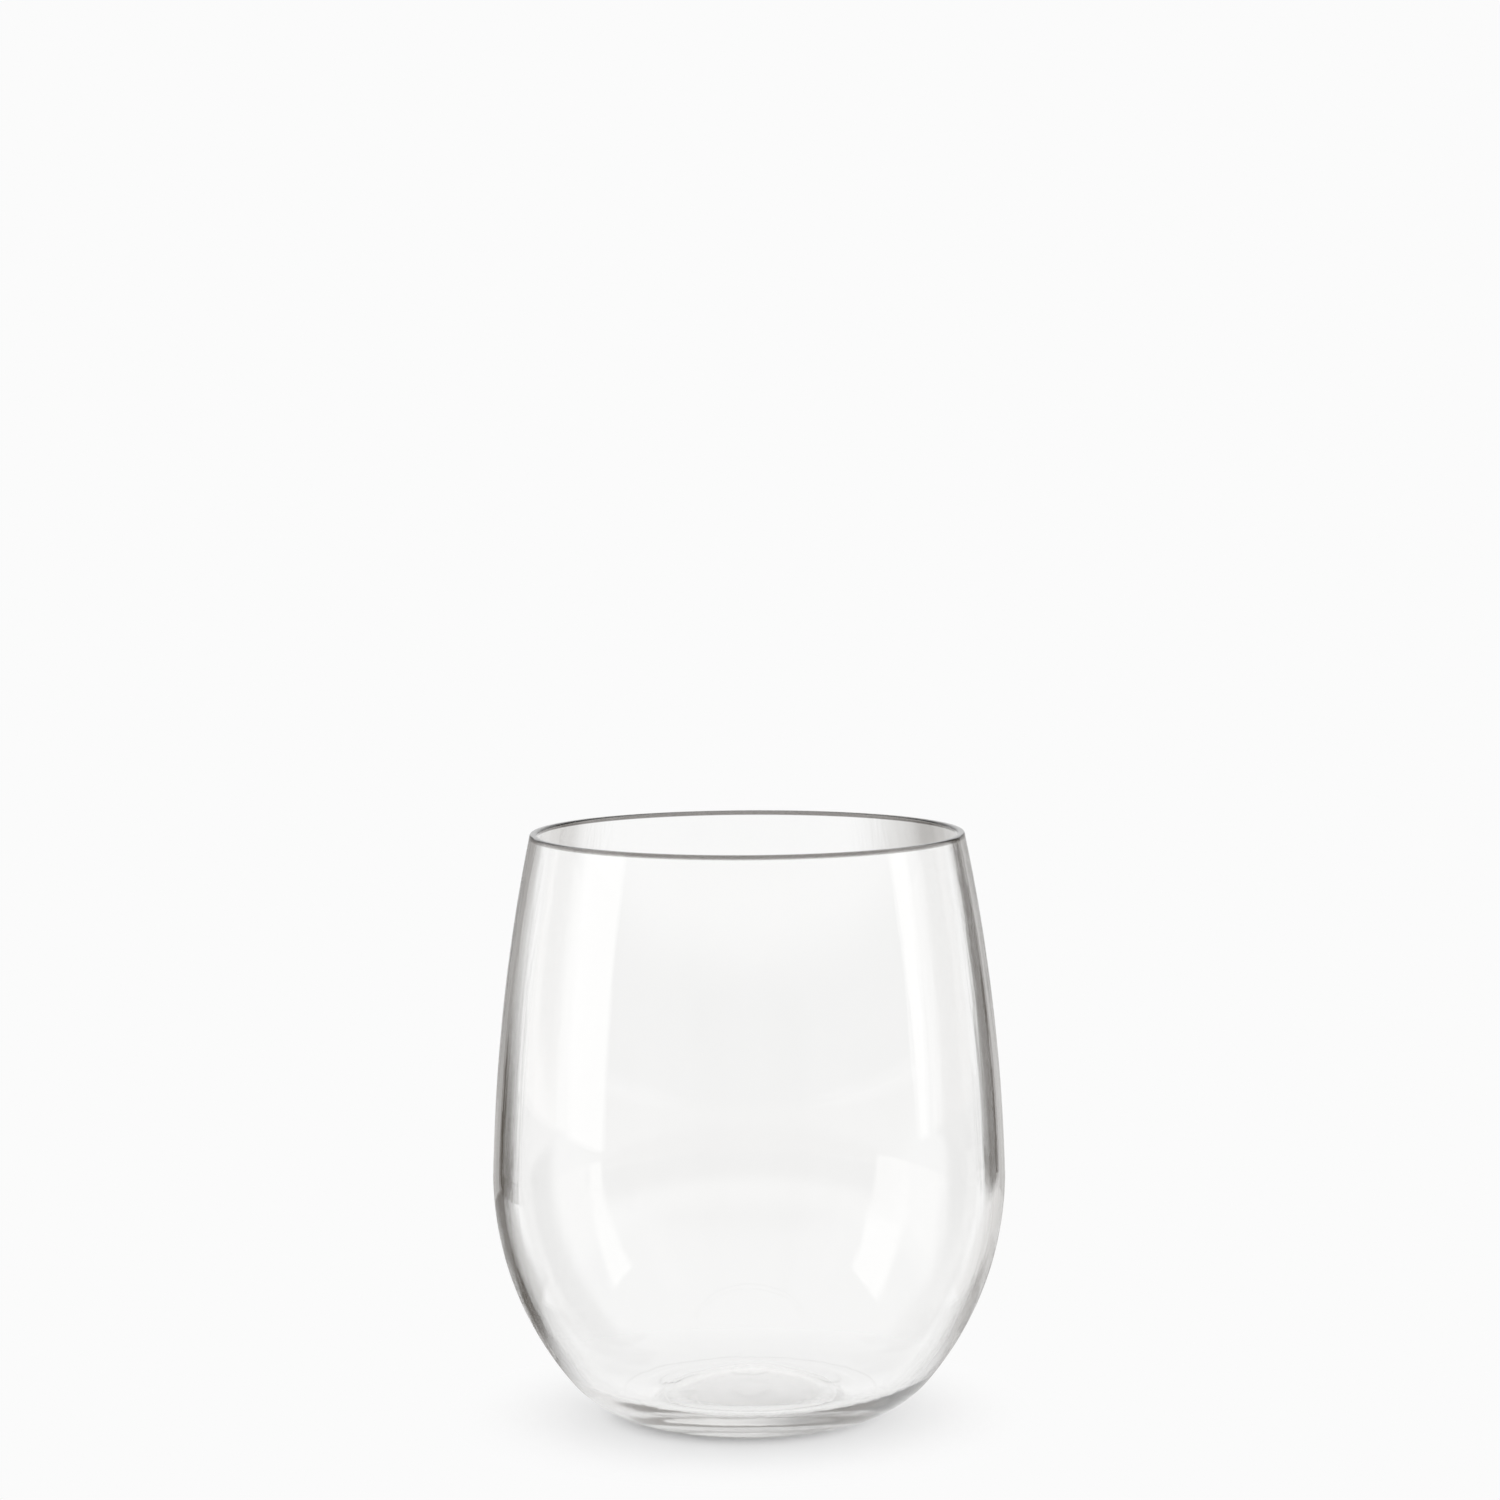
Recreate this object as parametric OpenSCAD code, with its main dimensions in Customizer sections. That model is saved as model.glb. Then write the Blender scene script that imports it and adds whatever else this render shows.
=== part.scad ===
// Short stemless tumbler, one clear moulded piece.
// Millimetres, +Z up. The origin is the centre of the foot, on the table.

/* [Outside] */
// Height from the table to the top of the rim
height = 103; // [90:1:120]
// Outside diameter at the belly, the widest place
belly_d = 90; // [84:1:100]
// Height of the belly above the table
belly_z = 43; // [38:0.5:50]
// Outside diameter of the mouth
rim_d = 76; // [68:1:82]
// Height above the belly at which the bowl's round passes into the upper wall
shoulder_z = 1.7; // [0.5:0.1:4]

/* [Foot] */
// Outside diameter of the flat ring that stands on the table
foot_d = 34; // [30:1:38]
// Width of that flat ring
foot_land = 2; // [1:0.5:4]
// Radius of the rounded heel between the foot and the bowl
heel_r = 19.5; // [18:0.5:21]
// Depth of the hollow under the base, at its centre
hollow_h = 2.4; // [1:0.1:3]
// Radius of the soft edge between the flat ring and the hollow
hollow_edge_r = 2; // [1:0.5:12]

/* [Walls] */
// Wall thickness at the rim
rim_wall = 1.3; // [1:0.1:2.5]
// Wall thickness at the belly
belly_wall = 1.6; // [0.8:0.1:3]
// Height of the lowest ring of the floor above the table
base_wall = 3.4; // [2.8:0.1:5]
// How much further out than the foot that lowest ring lies
floor_over = 2.2; // [1:0.2:3]
// Radius of the round between the floor and the bowl, inside
inner_heel_r = 16; // [13:0.5:16.5]
// Rise of the floor from its lowest ring to the middle
floor_rise = 3.8; // [1.5:0.1:4.5]
// Radius of the two rounded edges of the rim
lip_r = 0.4; // [0.1:0.05:0.45]

/* [Mould mark] */
// Diameter of the round mould mark in the middle of the floor
mark_d = 7; // [4:0.5:12]
// Height of the mould mark
mark_h = 0.06; // [0.02:0.01:0.3]
// Width of the mould mark's sloping edge
mark_edge = 0.6; // [0.2:0.1:1.5]

/* [Hidden] */
// Largest distance between an arc and its chords
chord_gap = 0.004;
$fn = 240;
belly_r = belly_d / 2;
rim_r = rim_d / 2;
foot_r = foot_d / 2;
hollow_r = foot_r - foot_land;
floor_r = foot_r + floor_over;
mark_r = mark_d / 2;

// Points along a round stretch from one angle to another, both ends included.
function arc(centre, radius, from, to) =
    let (step = 2 * acos(1 - chord_gap / radius),
         count = max(3, ceil(abs(to - from) / step)))
    [for (i = [0 : count])
        let (angle = from + (to - from) * i / count)
        centre + radius * [cos(angle), sin(angle)]];

// Radius of the bowl's round: upright at the belly and tangent to the heel below.
function bowl_radius(wide, foot, heel, floor_z) =
    let (drop = belly_z - floor_z - heel)
    (pow(wide - foot, 2) + drop * drop - heel * heel) / (2 * (wide - foot - heel));

// One side of the wall: [heel centre, bowl centre, bowl radius, heel angle,
// shoulder angle, wall centre, wall radius].
function side(wide, foot, heel, floor_z, mouth) =
    let (bowl = bowl_radius(wide, foot, heel, floor_z),
         bowl_c = [wide - bowl, belly_z],
         heel_c = [foot, floor_z + heel],
         heel_a = atan2(heel_c.y - bowl_c.y, heel_c.x - bowl_c.x),
         shoulder_a = asin(shoulder_z / bowl),
         out = [cos(shoulder_a), sin(shoulder_a)],
         shoulder = bowl_c + bowl * out,
         to_rim = [mouth, height] - shoulder,
         wall = -(to_rim * to_rim) / (2 * (to_rim * out)))
    [heel_c, bowl_c, bowl, heel_a, shoulder_a, shoulder - wall * out, wall];

// Centre of a lip round: it touches the top of the rim and one side of the wall.
function lip_centre(wall_c, reach) =
    let (z = height - lip_r)
    [wall_c.x + sqrt(reach * reach - pow(z - wall_c.y, 2)), z];

function angle_of(from, to) = atan2(to.y - from.y, to.x - from.x);

// Radius of a shallow dome on the axis that runs smoothly into a round ring:
// the ring's circle has its lowest point at the given reach, and the dome rises above that.
function dome_radius(reach, ring, rise) = (reach * reach + rise * rise - 2 * ring * rise) / (2 * rise);

outer = side(belly_r, foot_r, heel_r, 0, rim_r);
inner = side(belly_r - belly_wall, floor_r, inner_heel_r, base_wall, rim_r - rim_wall);
outer_lip = lip_centre(outer[5], outer[6] - lip_r);
inner_lip = lip_centre(inner[5], inner[6] + lip_r);
outer_lip_a = angle_of(outer[5], outer_lip);
inner_lip_a = angle_of(inner[5], inner_lip);

// The floor inside is a shallow dome, tangent to the inner heel.
floor_dome_r = dome_radius(floor_r, inner_heel_r, floor_rise);
floor_dome_c = [0, base_wall + floor_rise - floor_dome_r];
floor_edge_a = angle_of(floor_dome_c, inner[0]);

// The mould mark is a round patch of a slightly larger dome, with a sloping edge.
mark_foot_a = acos(mark_r / floor_dome_r);
mark_top_r = floor_dome_r + mark_h;
mark_top_a = acos((mark_r - mark_edge) / mark_top_r);

// The hollow underneath is a shallow dome too, tangent to the soft edge of the foot.
hollow_dome_r = dome_radius(hollow_r, hollow_edge_r, hollow_h);
hollow_dome_c = [0, hollow_h - hollow_dome_r];
hollow_edge_c = [hollow_r, hollow_edge_r];
hollow_edge_a = angle_of(hollow_dome_c, hollow_edge_c);

// The whole cut through the wall, on one side of the axis.
section = concat(
    arc(outer[0], heel_r, -90, outer[3]),
    arc(outer[1], outer[2], outer[3], outer[4]),
    arc(outer[5], outer[6], outer[4], outer_lip_a),
    arc(outer_lip, lip_r, outer_lip_a, 90),
    arc(inner_lip, lip_r, 90, 180 + inner_lip_a),
    arc(inner[5], inner[6], inner_lip_a, inner[4]),
    arc(inner[1], inner[2], inner[4], inner[3]),
    arc(inner[0], inner_heel_r, inner[3], floor_edge_a - 180),
    arc(floor_dome_c, floor_dome_r, floor_edge_a, mark_foot_a),
    arc(floor_dome_c, mark_top_r, mark_top_a, 90),
    arc(hollow_dome_c, hollow_dome_r, 90, hollow_edge_a),
    arc(hollow_edge_c, hollow_edge_r, hollow_edge_a - 180, -90));

// Points of a line of points, without those that repeat the one before.
function distinct(line) =
    [for (i = [0 : len(line) - 1])
        if (norm(line[i] - line[(i + len(line) - 1) % len(line)]) > 0.0005) line[i]];

module tumbler() {
    color([0.92, 0.94, 0.95, 0.35])
        rotate_extrude()
            polygon(distinct(section));
}

tumbler();
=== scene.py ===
import math
from collections import namedtuple

import bmesh
import bpy
from mathutils import Matrix, Vector


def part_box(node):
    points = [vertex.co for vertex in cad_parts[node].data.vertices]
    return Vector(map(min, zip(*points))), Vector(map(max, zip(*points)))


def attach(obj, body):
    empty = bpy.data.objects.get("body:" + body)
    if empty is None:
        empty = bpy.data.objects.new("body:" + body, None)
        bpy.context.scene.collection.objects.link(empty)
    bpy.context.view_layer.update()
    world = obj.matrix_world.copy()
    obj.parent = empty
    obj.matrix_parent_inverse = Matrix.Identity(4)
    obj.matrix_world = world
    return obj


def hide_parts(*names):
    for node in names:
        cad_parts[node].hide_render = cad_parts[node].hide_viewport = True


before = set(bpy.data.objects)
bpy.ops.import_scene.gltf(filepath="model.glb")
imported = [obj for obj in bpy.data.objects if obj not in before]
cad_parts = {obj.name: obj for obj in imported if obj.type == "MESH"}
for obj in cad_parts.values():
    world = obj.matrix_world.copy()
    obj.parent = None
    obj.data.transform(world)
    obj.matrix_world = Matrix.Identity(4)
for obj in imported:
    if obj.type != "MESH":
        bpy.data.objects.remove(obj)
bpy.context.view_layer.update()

# A short stemless tumbler, one clear moulded wall, on a pale studio floor.
# Lengths are in metres, +Z is up, and the camera looks along +Y.
MM = 0.001

# The wall. Its height and its belly come from the frame.
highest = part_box("tumbler")[1]
HEIGHT = highest[2]
BELLY_R = highest[0]
BELLY_Z = 43 * MM
RIM_R = 38 * MM
SHOULDER_Z = 1.7 * MM
FOOT_R = 17 * MM
FOOT_LAND = 2 * MM
HEEL_R = 19.5 * MM
HOLLOW_H = 2.4 * MM
HOLLOW_EDGE_R = 2 * MM
RIM_WALL = 1.3 * MM
BELLY_WALL = 1.6 * MM
BASE_WALL = 3.4 * MM
FLOOR_OVER = 2.2 * MM
INNER_HEEL_R = 16 * MM
FLOOR_RISE = 3.8 * MM
LIP_R = 0.4 * MM
MARK_R = 3.5 * MM
MARK_H = 0.06 * MM
MARK_EDGE = 0.6 * MM

# Fineness of the lathe.
AROUND = 360
CHORD_GAP = 0.002 * MM
SAME_POINT = 1e-7

# The clear material: its body, and how it takes up light along the way.
CLEAR = (0.985, 0.985, 0.982, 1)
IOR = 1.55
DEPTH_TINT = (0.60, 0.57, 0.53, 1)
DEPTH_DENSITY = 3.5

# The grey lip, painted shade for the dark line along the flat rim, from this far below the top of the rim.
LIP_SHADE_TINT = (0.255, 0.243, 0.232, 1)
LIP_BAND = 0.85 * MM
LIP_FADE = 0.17 * MM

# The floor's grey patch, painted shade for the shadowed floor under the tumbler seen through the base, and
# two fine rings in it. A reach is half the height of a band.
FLOOR_SHADE_TINT = (0.90, 0.895, 0.892, 1)
FLOOR_FADE = 2 * MM
FLOOR_Z = 5.5 * MM
FLOOR_REACH = 3 * MM
FLOW_TINT = (0.78, 0.775, 0.77, 1)
FLOW_RING_R = 22.4 * MM
FLOW_RING_HALF = 0.4 * MM
FLOW_RING_Z = 4.4 * MM
FLOW_RING_REACH = 1.6 * MM
MARK_RING_R = MARK_R - 0.2 * MM
MARK_RING_HALF = 0.3 * MM
MARK_RING_Z = 7.2 * MM
MARK_RING_REACH = 1.2 * MM

# Roughness: a haze low on the base, a satin hollow underneath and scuffs round the belly.
HAZE_ROUGHNESS = 0.05
HAZE_FROM = 3 * MM
HAZE_TO = 14 * MM
SATIN_ROUGHNESS = 0.17
SATIN_FADE = 1.4 * MM
SATIN_FROM = 2.5 * MM
SATIN_TO = 2.9 * MM
SCUFF_ROUGHNESS = 0.2
SCUFF_Z = 40 * MM
SCUFF_REACH = 12 * MM
SCUFF_GRAIN = (700, 700, 240)
SCUFF_LEAN = (0.3, 0.25, 0)
SCUFF_DETAIL = 4.0
SCUFF_FROM = 0.66
SCUFF_TO = 0.74

# Shallow upright flow lines.
FLOW_GRAIN = (420, 420, 5)
FLOW_RELIEF = 0.012 * MM

# Light levels, where 1 is white, and the heights and sides between which they change.
WHITE = 0.965
ROOM_FRONT = 0.6
ROOM_BACK_FROM, ROOM_BACK_TO = -0.25, 0.35
ROOM_TOP = 1.15
ROOM_TOP_FROM, ROOM_TOP_TO = 0.1, 0.22
ROOM_OVERHEAD = 0.85
OVERHEAD_FROM, OVERHEAD_TO = 0.25, 0.4
DOME_LOW = 0.8
DOME_TOP = 1.15
GUIDED_LEFT = 0.2
GUIDED_RIGHT = 0.9
GUIDED_FROM, GUIDED_TO = -0.6, 0.1
BOUNCES = 96

# The floor's paper, and its shadow as rings round a middle: a dark contact and a wide soft spread.
PAPER = 0.95
PAPER_SIZE = 8
PAPER_Z = -0.05 * MM
SHADOW_MIDDLE = (-0.0015, 0, 0)
CONTACT_FROM, CONTACT_TO, CONTACT_SHARE = 17 * MM, 26 * MM, 0.6
SPREAD_FROM, SPREAD_TO, SPREAD_SHARE = 22 * MM, 52 * MM, 0.4
PLAIN_THROUGH_WALL = 0.9

# Cards: their warmth, the places of those that share one, and the number of faces light passes.
WARMTH = 0.012
SOFTBOX_AT = 0.6
REFLECTOR_AT = 0.62
FLAG_X = 0.150
EDGE_Y = 0.17
EDGE_TOP = 0.14
MOUTH_Y = 0.3
CARD_GAP = 0.001
CARD_LIFT = 0.0002
SHARP_EDGE = 0.001
RING_AT = 0.19
RING_FROM, RING_TO, RING_STEP = 48, 312, 22
FACES = {"one wall": 2.0, "two walls": 4.0}
GUIDED_DEPTH = 4.5

# A ray that leaves the wall at a grazing angle is shorter than the card's distance by less than this.
GRAZE_MIDDLE = (0, 0, 0.05)
GRAZE_FULL = 24.5 * MM
GRAZE_NONE = 29 * MM

# The camera, fitted to the outline in the photograph, which is 1500 pixels square.
IMAGE_PX = 1500
FOCAL_PX = 3994
SENSOR_MM = 36
CAMERA_AT = Vector((0.0006, -0.6948, 0.17605))
CAMERA_PITCH = math.radians(4.833)
CAMERA_ROLL = math.radians(-0.35)

Side = namedtuple("Side", "heel_c bowl_c bowl_r heel_a shoulder_a wall_c wall_r")


# The section through the wall

def arc(centre, radius, start, end):
    """Points along a round stretch of the section, both ends included."""
    step = 2 * math.acos(1 - CHORD_GAP / radius)
    count = max(4, math.ceil(abs(end - start) / step))
    angles = [start + (end - start) * i / count for i in range(count + 1)]
    return [(centre[0] + radius * math.cos(a), centre[1] + radius * math.sin(a)) for a in angles]


def side(wide, foot, heel, floor_z, mouth):
    """One side of the wall as tangent rounds: heel, bowl and upper wall."""
    drop = BELLY_Z - floor_z - heel
    bowl = ((wide - foot) ** 2 + drop * drop - heel * heel) / (2 * (wide - foot - heel))
    bowl_c = (wide - bowl, BELLY_Z)
    heel_c = (foot, floor_z + heel)
    heel_a = angle_of(bowl_c, heel_c)
    shoulder_a = math.asin(SHOULDER_Z / bowl)
    out = Vector((math.cos(shoulder_a), math.sin(shoulder_a)))
    shoulder = Vector(bowl_c) + bowl * out
    to_rim = Vector((mouth, HEIGHT)) - shoulder
    wall = -to_rim.dot(to_rim) / (2 * to_rim.dot(out))
    return Side(heel_c, bowl_c, bowl, heel_a, shoulder_a, shoulder - wall * out, wall)


def lip_centre(wall_c, reach):
    """Centre of a lip round, which touches the top of the rim and one side of the wall."""
    z = HEIGHT - LIP_R
    return (wall_c[0] + math.sqrt(reach * reach - (z - wall_c[1]) ** 2), z)


def angle_of(start, end):
    """Direction from one point of the section to another."""
    return math.atan2(end[1] - start[1], end[0] - start[0])


def dome(ring_c, ring_r, rise):
    """Centre and radius of a shallow dome on the axis that runs smoothly into a round ring."""
    reach = ring_c[0]
    radius = (reach * reach + rise * rise - 2 * ring_r * rise) / (2 * rise)
    return (0.0, ring_c[1] - ring_r + rise - radius), radius


def section():
    """The stretches of the cut through the wall, from the foot round to the hollow."""
    quarter = math.pi / 2
    outer = side(BELLY_R, FOOT_R, HEEL_R, 0, RIM_R)
    inner = side(BELLY_R - BELLY_WALL, FOOT_R + FLOOR_OVER, INNER_HEEL_R, BASE_WALL, RIM_R - RIM_WALL)
    outer_lip = lip_centre(outer.wall_c, outer.wall_r - LIP_R)
    inner_lip = lip_centre(inner.wall_c, inner.wall_r + LIP_R)
    outer_lip_a = angle_of(outer.wall_c, outer_lip)
    inner_lip_a = angle_of(inner.wall_c, inner_lip)
    floor_c, floor_r = dome(inner.heel_c, INNER_HEEL_R, FLOOR_RISE)
    floor_a = angle_of(floor_c, inner.heel_c)
    mark_foot_a = math.acos(MARK_R / floor_r)
    mark_top_r = floor_r + MARK_H
    mark_top_a = math.acos((MARK_R - MARK_EDGE) / mark_top_r)
    foot_edge_c = (FOOT_R - FOOT_LAND, HOLLOW_EDGE_R)
    hollow_c, hollow_dome = dome(foot_edge_c, HOLLOW_EDGE_R, HOLLOW_H)
    hollow_a = angle_of(hollow_c, foot_edge_c)
    outside = (
        arc(outer.heel_c, HEEL_R, -quarter, outer.heel_a)
        + arc(outer.bowl_c, outer.bowl_r, outer.heel_a, outer.shoulder_a)
        + arc(outer.wall_c, outer.wall_r, outer.shoulder_a, outer_lip_a)
    )
    rim = (
        arc(outer_lip, LIP_R, outer_lip_a, quarter)
        + arc(inner_lip, LIP_R, quarter, math.pi + inner_lip_a)
    )
    inside = (
        arc(inner.wall_c, inner.wall_r, inner_lip_a, inner.shoulder_a)
        + arc(inner.bowl_c, inner.bowl_r, inner.shoulder_a, inner.heel_a)
        + arc(inner.heel_c, INNER_HEEL_R, inner.heel_a, floor_a - math.pi)
        + arc(floor_c, floor_r, floor_a, mark_foot_a)
    )
    mark = arc(floor_c, mark_top_r, mark_top_a, quarter)
    hollow = (
        arc(hollow_c, hollow_dome, quarter, hollow_a)
        + arc(foot_edge_c, HOLLOW_EDGE_R, hollow_a - math.pi, -quarter)
    )
    return [outside + rim + inside, mark, hollow]


def lathe(name, stretches):
    """Turn the section round the axis. Edges between two stretches stay sharp."""
    line = []
    sharp = set()
    for stretch in stretches:
        sharp.add(len(line))
        for point in stretch:
            if not line or math.dist(point, line[-1]) > SAME_POINT:
                line.append(point)
            else:
                sharp.discard(len(line))
                sharp.add(len(line) - 1)
    bm = bmesh.new()
    rings = []
    turns = [2 * math.pi * k / AROUND for k in range(AROUND)]
    for r, z in line:
        if r < SAME_POINT:
            rings.append([bm.verts.new((0, 0, z))])
        else:
            rings.append([bm.verts.new((r * math.cos(t), r * math.sin(t), z)) for t in turns])
    count = len(rings)
    for i in range(count):
        a, b = rings[i], rings[(i + 1) % count]
        if len(a) == 1 and len(b) == 1:
            continue
        for k in range(AROUND):
            n = (k + 1) % AROUND
            corners = [a[k % len(a)], a[n % len(a)], b[n % len(b)], b[k % len(b)]]
            face = bm.faces.new(list(dict.fromkeys(corners)))
            face.smooth = True
    bm.normal_update()
    for i in sharp:
        ring = rings[i % count]
        if len(ring) > 1:
            for k in range(AROUND):
                edge = bm.edges.get((ring[k], ring[(k + 1) % AROUND]))
                edge.smooth = False
    bmesh.ops.recalc_face_normals(bm, faces=bm.faces)
    mesh = bpy.data.meshes.new(name)
    bm.to_mesh(mesh)
    bm.free()
    piece = bpy.data.objects.new(name, mesh)
    bpy.context.scene.collection.objects.link(piece)
    return piece


# Helpers for shader nodes

def node(tree, kind, **settings):
    """A new node, with plain settings as attributes."""
    made = tree.nodes.new(kind)
    for key, value in settings.items():
        setattr(made, key, value)
    return made


def link(tree, source, target):
    """Join an output to an input."""
    tree.links.new(source, target)


def fill(tree, sockets, values):
    """Set each socket to its number, or link it to its source."""
    for socket, value in zip(sockets, values):
        if isinstance(value, (int, float)):
            socket.default_value = value
        else:
            link(tree, value, socket)


def maths(tree, operation, first, second=0.0, third=0.0):
    """A sum or comparison of sockets and numbers, as one socket."""
    made = node(tree, "ShaderNodeMath", operation=operation)
    fill(tree, made.inputs, (first, second, third))
    return made.outputs["Value"]


def ramp(tree, value, from_min, from_max, to_min, to_max):
    """A smooth step from one value to another, as one socket."""
    made = node(tree, "ShaderNodeMapRange", interpolation_type="SMOOTHSTEP")
    link(tree, value, made.inputs["Value"])
    made.inputs["From Min"].default_value = from_min
    made.inputs["From Max"].default_value = from_max
    made.inputs["To Min"].default_value = to_min
    made.inputs["To Max"].default_value = to_max
    return made.outputs["Result"]


def band(tree, value, middle, half):
    """1 in the middle of a band and 0 outside it, as one socket."""
    rise = ramp(tree, value, middle - half, middle, 0, 1)
    fall = ramp(tree, value, middle, middle + half, 1, 0)
    return maths(tree, "MULTIPLY", rise, fall)


def mix_value(tree, factor, first, second):
    """Mix of two numbers or sockets, as one socket."""
    made = node(tree, "ShaderNodeMix", data_type="FLOAT")
    fill(tree, made.inputs[:1] + made.inputs[2:4], (factor, first, second))
    return made.outputs[0]


def mix_colour(tree, factor, first, second):
    """Mix of two colours or sockets, as one socket."""
    made = node(tree, "ShaderNodeMix", data_type="RGBA")
    link(tree, factor, made.inputs[0])
    for socket, value in zip(made.inputs[6:8], (first, second)):
        if isinstance(value, tuple):
            socket.default_value = value
        else:
            link(tree, value, socket)
    return made.outputs[2]


def noise(tree, place, grain, lean=(0, 0, 0), detail=2.0):
    """Noise over a stretched and turned place, as one socket."""
    stretched = node(tree, "ShaderNodeMapping")
    stretched.inputs["Scale"].default_value = grain
    stretched.inputs["Rotation"].default_value = lean
    link(tree, place, stretched.inputs["Vector"])
    made = node(tree, "ShaderNodeTexNoise")
    made.inputs["Scale"].default_value = 1.0
    made.inputs["Detail"].default_value = detail
    link(tree, stretched.outputs["Vector"], made.inputs["Vector"])
    return made.outputs["Fac"]


def distance(tree, place, point):
    """Distance of a place from a fixed point, as one socket."""
    made = node(tree, "ShaderNodeVectorMath", operation="DISTANCE")
    link(tree, place, made.inputs[0])
    made.inputs[1].default_value = point
    return made.outputs["Value"]


def axis_distance(tree, place):
    """Distance of a place from the upright axis, as one socket."""
    level = node(tree, "ShaderNodeVectorMath", operation="MULTIPLY")
    link(tree, place, level.inputs[0])
    level.inputs[1].default_value = (1, 1, 0)
    length = node(tree, "ShaderNodeVectorMath", operation="LENGTH")
    link(tree, level.outputs["Vector"], length.inputs[0])
    return length.outputs["Value"]


# The tumbler's material

def wall_colour(tree, radius, height):
    """Clear, with painted shade as a grey area in the floor, two fine rings in the floor, and painted shade
    as a grey lip, as one socket.
    """
    flow_ring = maths(tree, "MULTIPLY", band(tree, radius, FLOW_RING_R, FLOW_RING_HALF),
                      band(tree, height, FLOW_RING_Z, FLOW_RING_REACH))
    mark_ring = maths(tree, "MULTIPLY", band(tree, radius, MARK_RING_R, MARK_RING_HALF),
                      band(tree, height, MARK_RING_Z, MARK_RING_REACH))
    # Painted shade: a grey area on the floor inside the outer ring, for the shadowed floor under the tumbler
    # seen through the base.
    floor_shade = maths(tree, "MULTIPLY", ramp(tree, radius, FLOW_RING_R - FLOOR_FADE, FLOW_RING_R, 1, 0),
                  band(tree, height, FLOOR_Z, FLOOR_REACH))
    # Painted shade: a grey band at the top of the rim, for the dark line the flat rim shows.
    lip_from = HEIGHT - LIP_BAND
    lip = ramp(tree, height, lip_from, lip_from + LIP_FADE, 0, 1)
    colour = mix_colour(tree, floor_shade, CLEAR, FLOOR_SHADE_TINT)
    colour = mix_colour(tree, maths(tree, "MAXIMUM", flow_ring, mark_ring), colour, FLOW_TINT)
    return mix_colour(tree, lip, colour, LIP_SHADE_TINT)


def wall_roughness(tree, place, radius, height):
    """Polished, with haze on the base, scuffs round the belly and a satin hollow, as one socket."""
    haze = ramp(tree, height, HAZE_FROM, HAZE_TO, HAZE_ROUGHNESS, 0.0)
    grain = noise(tree, place, SCUFF_GRAIN, SCUFF_LEAN, SCUFF_DETAIL)
    scuffs = maths(tree, "MULTIPLY", ramp(tree, grain, SCUFF_FROM, SCUFF_TO, 0, SCUFF_ROUGHNESS),
                   band(tree, height, SCUFF_Z, SCUFF_REACH))
    satin = maths(tree, "MULTIPLY", ramp(tree, radius, FOOT_R - SATIN_FADE, FOOT_R, SATIN_ROUGHNESS, 0),
                  ramp(tree, height, SATIN_FROM, SATIN_TO, 1, 0))
    return maths(tree, "MAXIMUM", maths(tree, "ADD", haze, scuffs), satin)


def clear_wall():
    """Clear moulded plastic, slightly warm in its depth, with shallow upright flow lines."""
    mat = bpy.data.materials.new("clear_wall")
    mat.use_nodes = True
    tree = mat.node_tree
    shader = tree.nodes["Principled BSDF"]
    shader.inputs["IOR"].default_value = IOR
    shader.inputs["Transmission Weight"].default_value = 1.0
    place = node(tree, "ShaderNodeTexCoord").outputs["Object"]
    split = node(tree, "ShaderNodeSeparateXYZ")
    link(tree, place, split.inputs["Vector"])
    height = split.outputs["Z"]
    radius = axis_distance(tree, place)
    link(tree, wall_colour(tree, radius, height), shader.inputs["Base Color"])
    link(tree, wall_roughness(tree, place, radius, height), shader.inputs["Roughness"])
    relief = node(tree, "ShaderNodeBump")
    relief.inputs["Distance"].default_value = FLOW_RELIEF
    link(tree, noise(tree, place, FLOW_GRAIN), relief.inputs["Height"])
    link(tree, relief.outputs["Normal"], shader.inputs["Normal"])
    depth = node(tree, "ShaderNodeVolumeAbsorption")
    depth.inputs["Color"].default_value = DEPTH_TINT
    depth.inputs["Density"].default_value = DEPTH_DENSITY
    link(tree, depth.outputs["Volume"], tree.nodes["Material Output"].inputs["Volume"])
    return mat


# The studio's light

def unmirrored(tree):
    """1 for rays that come from the camera with no reflection on the way, otherwise 0."""
    path = node(tree, "ShaderNodeLightPath")
    whole = maths(tree, "LESS_THAN", path.outputs["Glossy Depth"], 0.5)
    return maths(tree, "MULTIPLY", whole, maths(tree, "LESS_THAN", path.outputs["Diffuse Depth"], 0.5))


def grazing(tree):
    """1 for rays that left the wall at a grazing angle, so that a card darkens the edges alone."""
    path = node(tree, "ShaderNodeLightPath")
    place = node(tree, "ShaderNodeTexCoord").outputs["Object"]
    reach = distance(tree, place, GRAZE_MIDDLE)
    saved = maths(tree, "SUBTRACT", reach, path.outputs["Ray Length"])
    return ramp(tree, saved, GRAZE_FULL, GRAZE_NONE, 1, 0)


def ray_kind(tree, rays):
    """1 for rays of one kind.

    Guided: reflected many times inside the base. Mirrored: reflected a few times.
    One wall, two walls: straight through them, and grazing where it is two.
    Edges: mirrored any number of times, or grazing.
    """
    path = node(tree, "ShaderNodeLightPath")
    mirrored = maths(tree, "GREATER_THAN", path.outputs["Glossy Depth"], 0.5)
    guided = maths(tree, "GREATER_THAN", path.outputs["Glossy Depth"], GUIDED_DEPTH)
    if rays == "guided":
        return guided
    if rays == "mirrored":
        return maths(tree, "SUBTRACT", mirrored, guided)
    if rays == "edges":
        return maths(tree, "MAXIMUM", mirrored, grazing(tree))
    passed = maths(tree, "COMPARE", path.outputs["Transmission Depth"], FACES[rays], 0.5)
    straight = maths(tree, "MULTIPLY", passed, maths(tree, "SUBTRACT", 1.0, mirrored))
    if rays == "two walls":
        return maths(tree, "MULTIPLY", straight, grazing(tree))
    return straight


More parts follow.
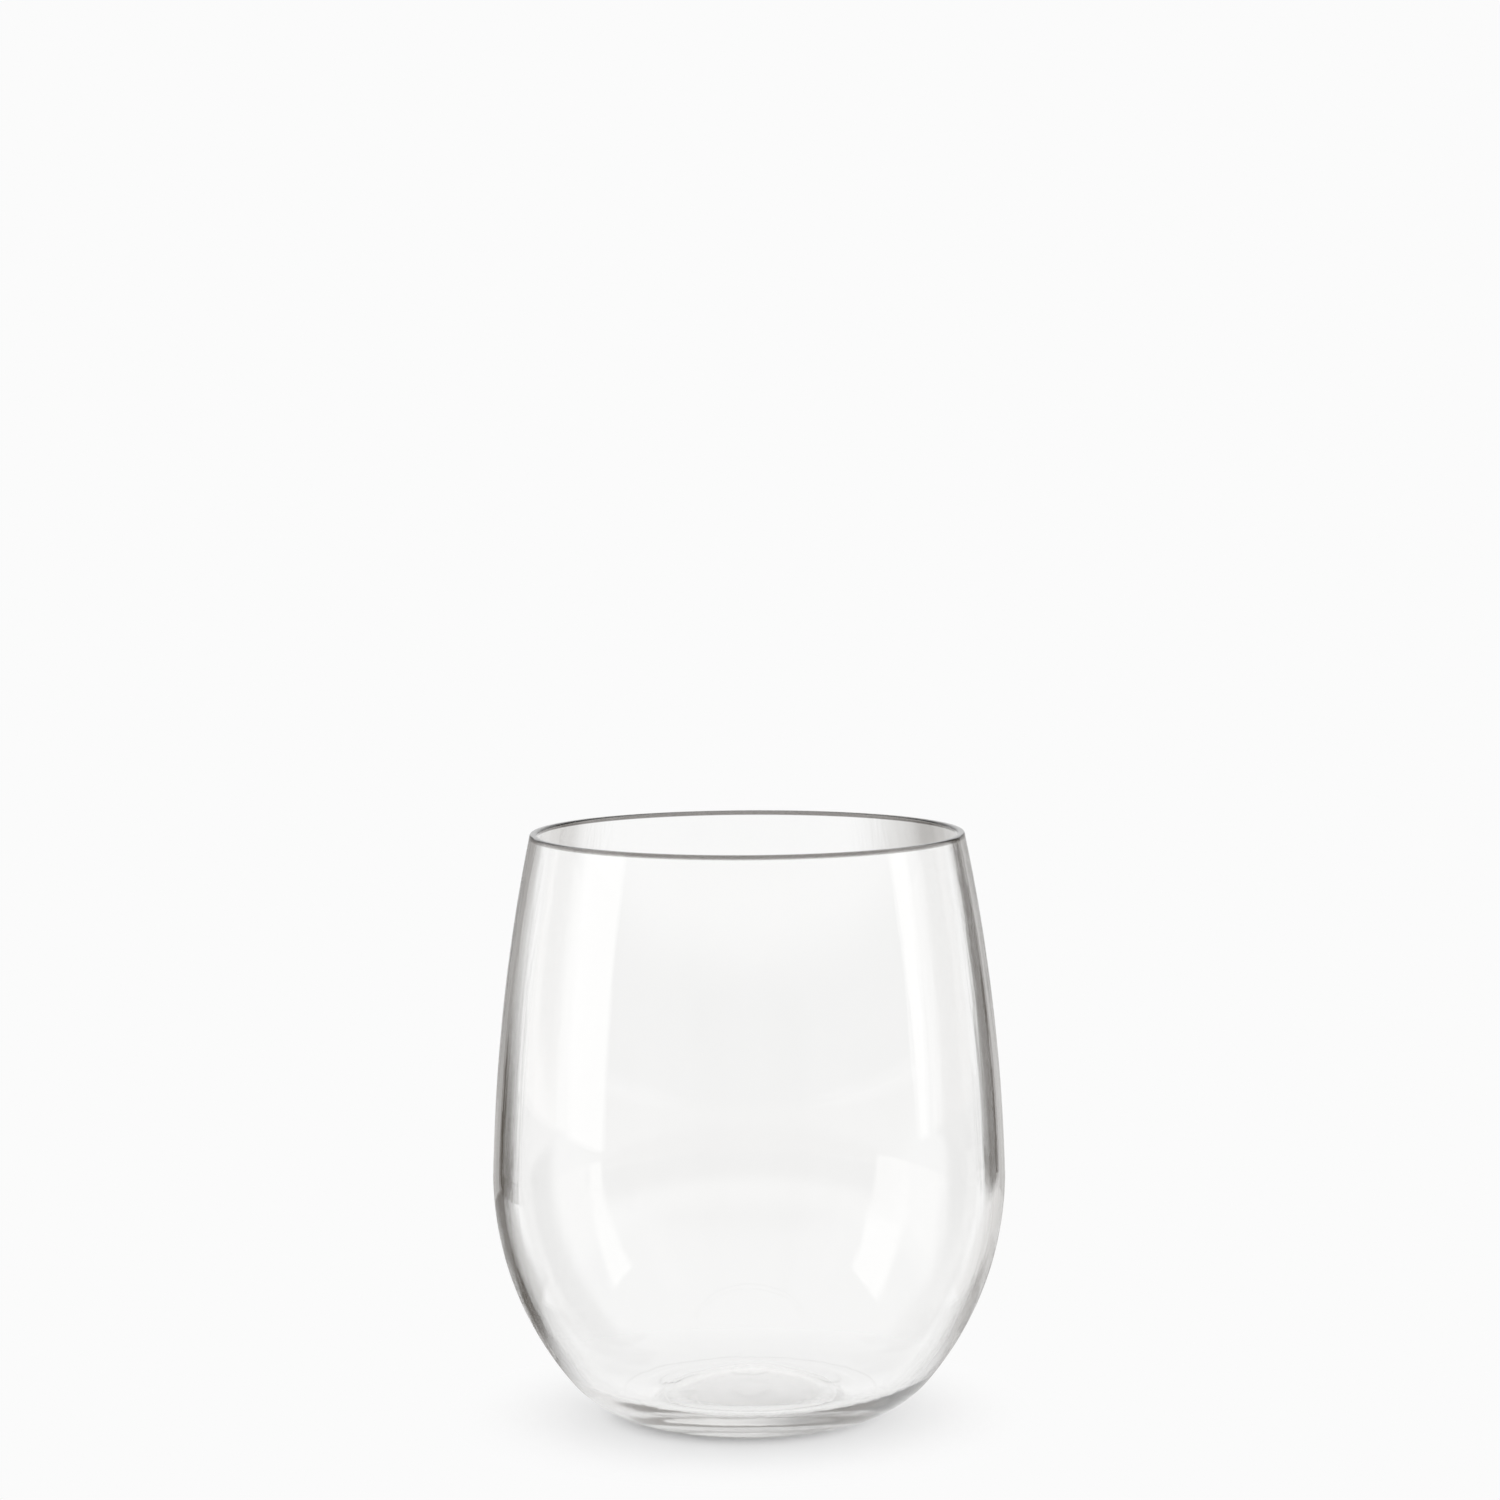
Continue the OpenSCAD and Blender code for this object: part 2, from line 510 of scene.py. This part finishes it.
def card_light(name, level, feather, rays, fade_up, fade_down):
    """A lit or dark card that can fade out at its start, its end, its top and its bottom."""
    mat = bpy.data.materials.new(name)
    mat.use_nodes = True
    tree = mat.node_tree
    tree.nodes.clear()
    glow = node(tree, "ShaderNodeEmission")
    glow.inputs["Color"].default_value = (level + WARMTH, level, level - WARMTH, 1)
    clear = node(tree, "ShaderNodeBsdfTransparent")
    place = node(tree, "ShaderNodeUVMap")
    split = node(tree, "ShaderNodeSeparateXYZ")
    link(tree, place.outputs["UV"], split.inputs["Vector"])
    along, up = split.outputs["X"], split.outputs["Y"]
    begin = ramp(tree, along, 0, max(feather[0], SHARP_EDGE), 0, 1)
    finish = ramp(tree, along, 1 - max(feather[1], SHARP_EDGE), 1, 1, 0)
    cover = maths(tree, "MULTIPLY", begin, finish)
    if fade_up:
        cover = maths(tree, "MULTIPLY", cover, ramp(tree, up, 1 - fade_up, 1, 1, 0))
    if fade_down:
        cover = maths(tree, "MULTIPLY", cover, ramp(tree, up, 0, fade_down, 0, 1))
    cover = maths(tree, "MULTIPLY", cover, ray_kind(tree, rays))
    mixed = node(tree, "ShaderNodeMixShader")
    link(tree, cover, mixed.inputs[0])
    link(tree, clear.outputs[0], mixed.inputs[1])
    link(tree, glow.outputs[0], mixed.inputs[2])
    out = node(tree, "ShaderNodeOutputMaterial")
    link(tree, mixed.outputs[0], out.inputs["Surface"])
    return mat


def card(name, corners, level, feather=(0, 0), rays="mirrored", fade_up=0, fade_down=0):
    """A studio card for one kind of ray, never seen by the camera itself."""
    mesh = bpy.data.meshes.new(name)
    mesh.from_pydata(corners, [], [(0, 1, 2, 3)])
    layer = mesh.uv_layers.new(name="UVMap")
    for loop, uv in zip(layer.data, ((0, 0), (1, 0), (1, 1), (0, 1))):
        loop.uv = uv
    mesh.materials.append(card_light(name, level, feather, rays, fade_up, fade_down))
    made = bpy.data.objects.new(name, mesh)
    bpy.context.scene.collection.objects.link(made)
    made.visible_camera = False
    made.visible_diffuse = False
    made.visible_shadow = False


def around(azimuth, away):
    """A floor point at an azimuth from the viewing direction, to the right when positive."""
    a = math.radians(azimuth)
    return (away * math.sin(a), away * math.cos(a))


def stretch_around(start, end, away):
    """The two ends of a line on the floor between two azimuths."""
    return (around(start, away), around(end, away))


def leaning(lower, upper, bottom, top):
    """Corners of a card whose upper edge is shifted against its lower edge."""
    return [(*lower[0], bottom), (*lower[1], bottom), (*upper[1], top), (*upper[0], top)]


def upright(start, end, bottom, top):
    """Corners of a vertical card over a line on the floor."""
    return leaning((start, end), (start, end), bottom, top)


def flat(near_in, near_out, far_out, far_in):
    """Corners of a card that lies on the floor."""
    return [(*point, CARD_LIFT) for point in (near_in, near_out, far_out, far_in)]


def floor_paper():
    """White paper that keeps the shadow near the tumbler and is plain white further off."""
    mat = bpy.data.materials.new("floor_paper")
    mat.use_nodes = True
    tree = mat.node_tree
    shader = tree.nodes["Principled BSDF"]
    shader.inputs["Base Color"].default_value = (PAPER, PAPER, PAPER, 1)
    shader.inputs["Roughness"].default_value = 1.0
    shader.inputs["Specular IOR Level"].default_value = 0.0
    glow = node(tree, "ShaderNodeEmission")
    glow.inputs["Strength"].default_value = WHITE
    place = node(tree, "ShaderNodeTexCoord").outputs["Object"]
    reach = distance(tree, place, SHADOW_MIDDLE)
    contact = ramp(tree, reach, CONTACT_FROM, CONTACT_TO, 0, CONTACT_SHARE)
    spread = ramp(tree, reach, SPREAD_FROM, SPREAD_TO, 0, SPREAD_SHARE)
    path = node(tree, "ShaderNodeLightPath")
    through = maths(tree, "MULTIPLY", path.outputs["Is Transmission Ray"], PLAIN_THROUGH_WALL)
    plain = maths(tree, "MAXIMUM", maths(tree, "ADD", contact, spread), through)
    mixed = node(tree, "ShaderNodeMixShader")
    link(tree, plain, mixed.inputs[0])
    link(tree, shader.outputs[0], mixed.inputs[1])
    link(tree, glow.outputs[0], mixed.inputs[2])
    link(tree, mixed.outputs[0], tree.nodes["Material Output"].inputs["Surface"])
    return mat


def studio_world():
    """White where the camera looks, an even dome on the floor, and a dimmer room in reflections."""
    world = bpy.data.worlds.new("studio")
    bpy.context.scene.world = world
    world.use_nodes = True
    tree = world.node_tree
    path = node(tree, "ShaderNodeLightPath")
    place = node(tree, "ShaderNodeTexCoord")
    split = node(tree, "ShaderNodeSeparateXYZ")
    link(tree, place.outputs["Generated"], split.inputs["Vector"])
    across, along, up = split.outputs["X"], split.outputs["Y"], split.outputs["Z"]
    back = ramp(tree, along, ROOM_BACK_FROM, ROOM_BACK_TO, 0, 1)
    raised = ramp(tree, up, ROOM_TOP_FROM, ROOM_TOP_TO, 0, 1)
    overhead = ramp(tree, up, OVERHEAD_FROM, OVERHEAD_TO, 0, 1)
    room = mix_value(tree, back, ROOM_FRONT, WHITE)
    room = mix_value(tree, raised, room, ROOM_TOP)
    room = mix_value(tree, overhead, room, ROOM_OVERHEAD)
    even_dome = ramp(tree, up, 0.0, 1.0, DOME_LOW, DOME_TOP)
    level = mix_value(tree, path.outputs["Is Diffuse Ray"], room, even_dome)
    guided_level = ramp(tree, across, GUIDED_FROM, GUIDED_TO, GUIDED_LEFT, GUIDED_RIGHT)
    level = mix_value(tree, ray_kind(tree, "guided"), level, guided_level)
    level = mix_value(tree, unmirrored(tree), level, WHITE)
    background = tree.nodes["Background"]
    background.inputs["Color"].default_value = (1, 1, 1, 1)
    link(tree, level, background.inputs["Strength"])


# The tumbler
tumbler = lathe("tumbler_wall", section())
tumbler.data.materials.append(clear_wall())
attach(tumbler, "root")
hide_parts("tumbler")

# Floor and world
bpy.ops.mesh.primitive_plane_add(size=PAPER_SIZE, location=(0, 0, PAPER_Z))
floor = bpy.context.object
floor.name = "floor"
floor.data.materials.append(floor_paper())
studio_world()

# Softboxes and reflectors beside the tumbler, as stretches of azimuth at three heights
LEFT_LOW = stretch_around(-93, -114, SOFTBOX_AT)
LEFT_MIDDLE = stretch_around(-88, -114.5, SOFTBOX_AT)
LEFT_HIGH = stretch_around(-80, -113.5, SOFTBOX_AT)
RIGHT_LOW = stretch_around(94, 101, SOFTBOX_AT)
RIGHT_MIDDLE = stretch_around(90, 102, SOFTBOX_AT)
RIGHT_HIGH = stretch_around(84, 104, SOFTBOX_AT)
card("softbox_left", leaning(LEFT_LOW, LEFT_MIDDLE, 0, 0.2), 1.55, (0.08, 0))
card("softbox_right", leaning(RIGHT_LOW, RIGHT_MIDDLE, 0, 0.2), 1.6, (0.08, 0))
card("softbox_left_top", leaning(LEFT_MIDDLE, LEFT_HIGH, 0.2, 0.45), 1.75, (0.2, 0))
card("softbox_right_top", leaning(RIGHT_MIDDLE, RIGHT_HIGH, 0.2, 0.39), 1.7, (0.1, 0))
card("reflector_left", upright(*stretch_around(-54, -94, REFLECTOR_AT), 0, 0.18), 1.3, (0.3, 0))
card("reflector_right", upright(*stretch_around(52, 92, REFLECTOR_AT), 0, 0.18), 1.15, (0.5, 0))

# Dark cards close behind the edges, and a ring of them for the other sides
NEAR_EDGE = EDGE_Y - CARD_GAP
FAR_EDGE = EDGE_Y + CARD_GAP
NEAR_FLAG = FLAG_X - CARD_GAP
card("flag_left", upright((-FLAG_X, 0.20), (-FLAG_X, 0.09), 0, 0.25), 0.40, (0, 0.6))
card("flag_right", upright((FLAG_X, 0.20), (FLAG_X, 0.07), 0, 0.25), 0.05, (0, 0.35), fade_down=0.04)
card("flag_low", upright((-NEAR_FLAG, 0.20), (-NEAR_FLAG, 0.07), 0, 0.08), 0.02, (0, 0.35), fade_up=0.7)
card("edge_left", upright((-0.065, EDGE_Y), (-0.14, EDGE_Y), 0, EDGE_TOP), 0.40, (0.25, 0), rays="edges")
card("edge_right", upright((0.070, EDGE_Y), (0.14, EDGE_Y), 0, EDGE_TOP), 0.02, (0.18, 0),
     rays="two walls", fade_down=0.07)
card("edge_low", upright((-0.070, NEAR_EDGE), (-0.14, NEAR_EDGE), 0, 0.07), 0.02, (0.18, 0),
     rays="two walls", fade_up=0.7, fade_down=0.1)
card("band_right", upright((0.065, FAR_EDGE), (0.14, FAR_EDGE), 0, EDGE_TOP), 0.50, (0.25, 0))
for azimuth in range(RING_FROM, RING_TO, RING_STEP):
    ring_part = stretch_around(azimuth, azimuth + RING_STEP, RING_AT)
    card(f"edge_ring_{azimuth}", upright(*ring_part, 0, EDGE_TOP), 0.35, rays="two walls")

# Grey cards seen through the far wall above the near rim
card("mouth_left", upright((-0.036, MOUTH_Y), (-0.12, MOUTH_Y), 0.03, 0.13), 0.75, (0.3, 0), rays="one wall")
card("mouth_right", upright((0.026, MOUTH_Y), (0.12, MOUTH_Y), 0.03, 0.13), 0.55, (0.3, 0), rays="one wall")

# Grey and dark cards on the floor, for what the bowl and the base mirror. The low cards close beside the
# foot are painted shade: in reflections they darken the floor where it lies in the tumbler's shadow.
card("floor_front", flat((-2, -0.08), (-2, -3.9), (2, -3.9), (2, -0.08)), 0.7, (0.06, 0))
card("low_left", flat((-0.024, 0.22), (-0.031, -0.02), (-0.056, -0.03), (-0.14, 0.22)), 0.05, (0, 0.3))
card("low_right", flat((0.024, 0.22), (0.031, -0.02), (0.056, -0.03), (0.14, 0.22)), 0.35, (0, 0.3))
card("floor_left", flat((-0.026, 0.03), (-0.09, 0.00), (-0.28, 0.20), (-0.06, 0.25)), 0.15, (0.3, 0.3))
card("floor_right", flat((0.026, 0.03), (0.09, 0.00), (0.28, 0.20), (0.06, 0.25)), 0.7, (0.3, 0.3))

# Camera
camera_data = bpy.data.cameras.new("camera")
camera_data.sensor_width = SENSOR_MM
camera_data.lens = FOCAL_PX / IMAGE_PX * SENSOR_MM
camera = bpy.data.objects.new("camera", camera_data)
camera.location = CAMERA_AT
tilt = Matrix.Rotation(math.pi / 2 - CAMERA_PITCH, 3, "X")
roll = Matrix.Rotation(CAMERA_ROLL, 3, "Z")
camera.rotation_euler = (tilt @ roll).to_euler()
bpy.context.scene.collection.objects.link(camera)
bpy.context.scene.camera = camera

# View and depth of light paths
bpy.context.scene.view_settings.view_transform = "Standard"
bpy.context.scene.cycles.max_bounces = BOUNCES
bpy.context.scene.cycles.transmission_bounces = BOUNCES
bpy.context.scene.cycles.glossy_bounces = BOUNCES
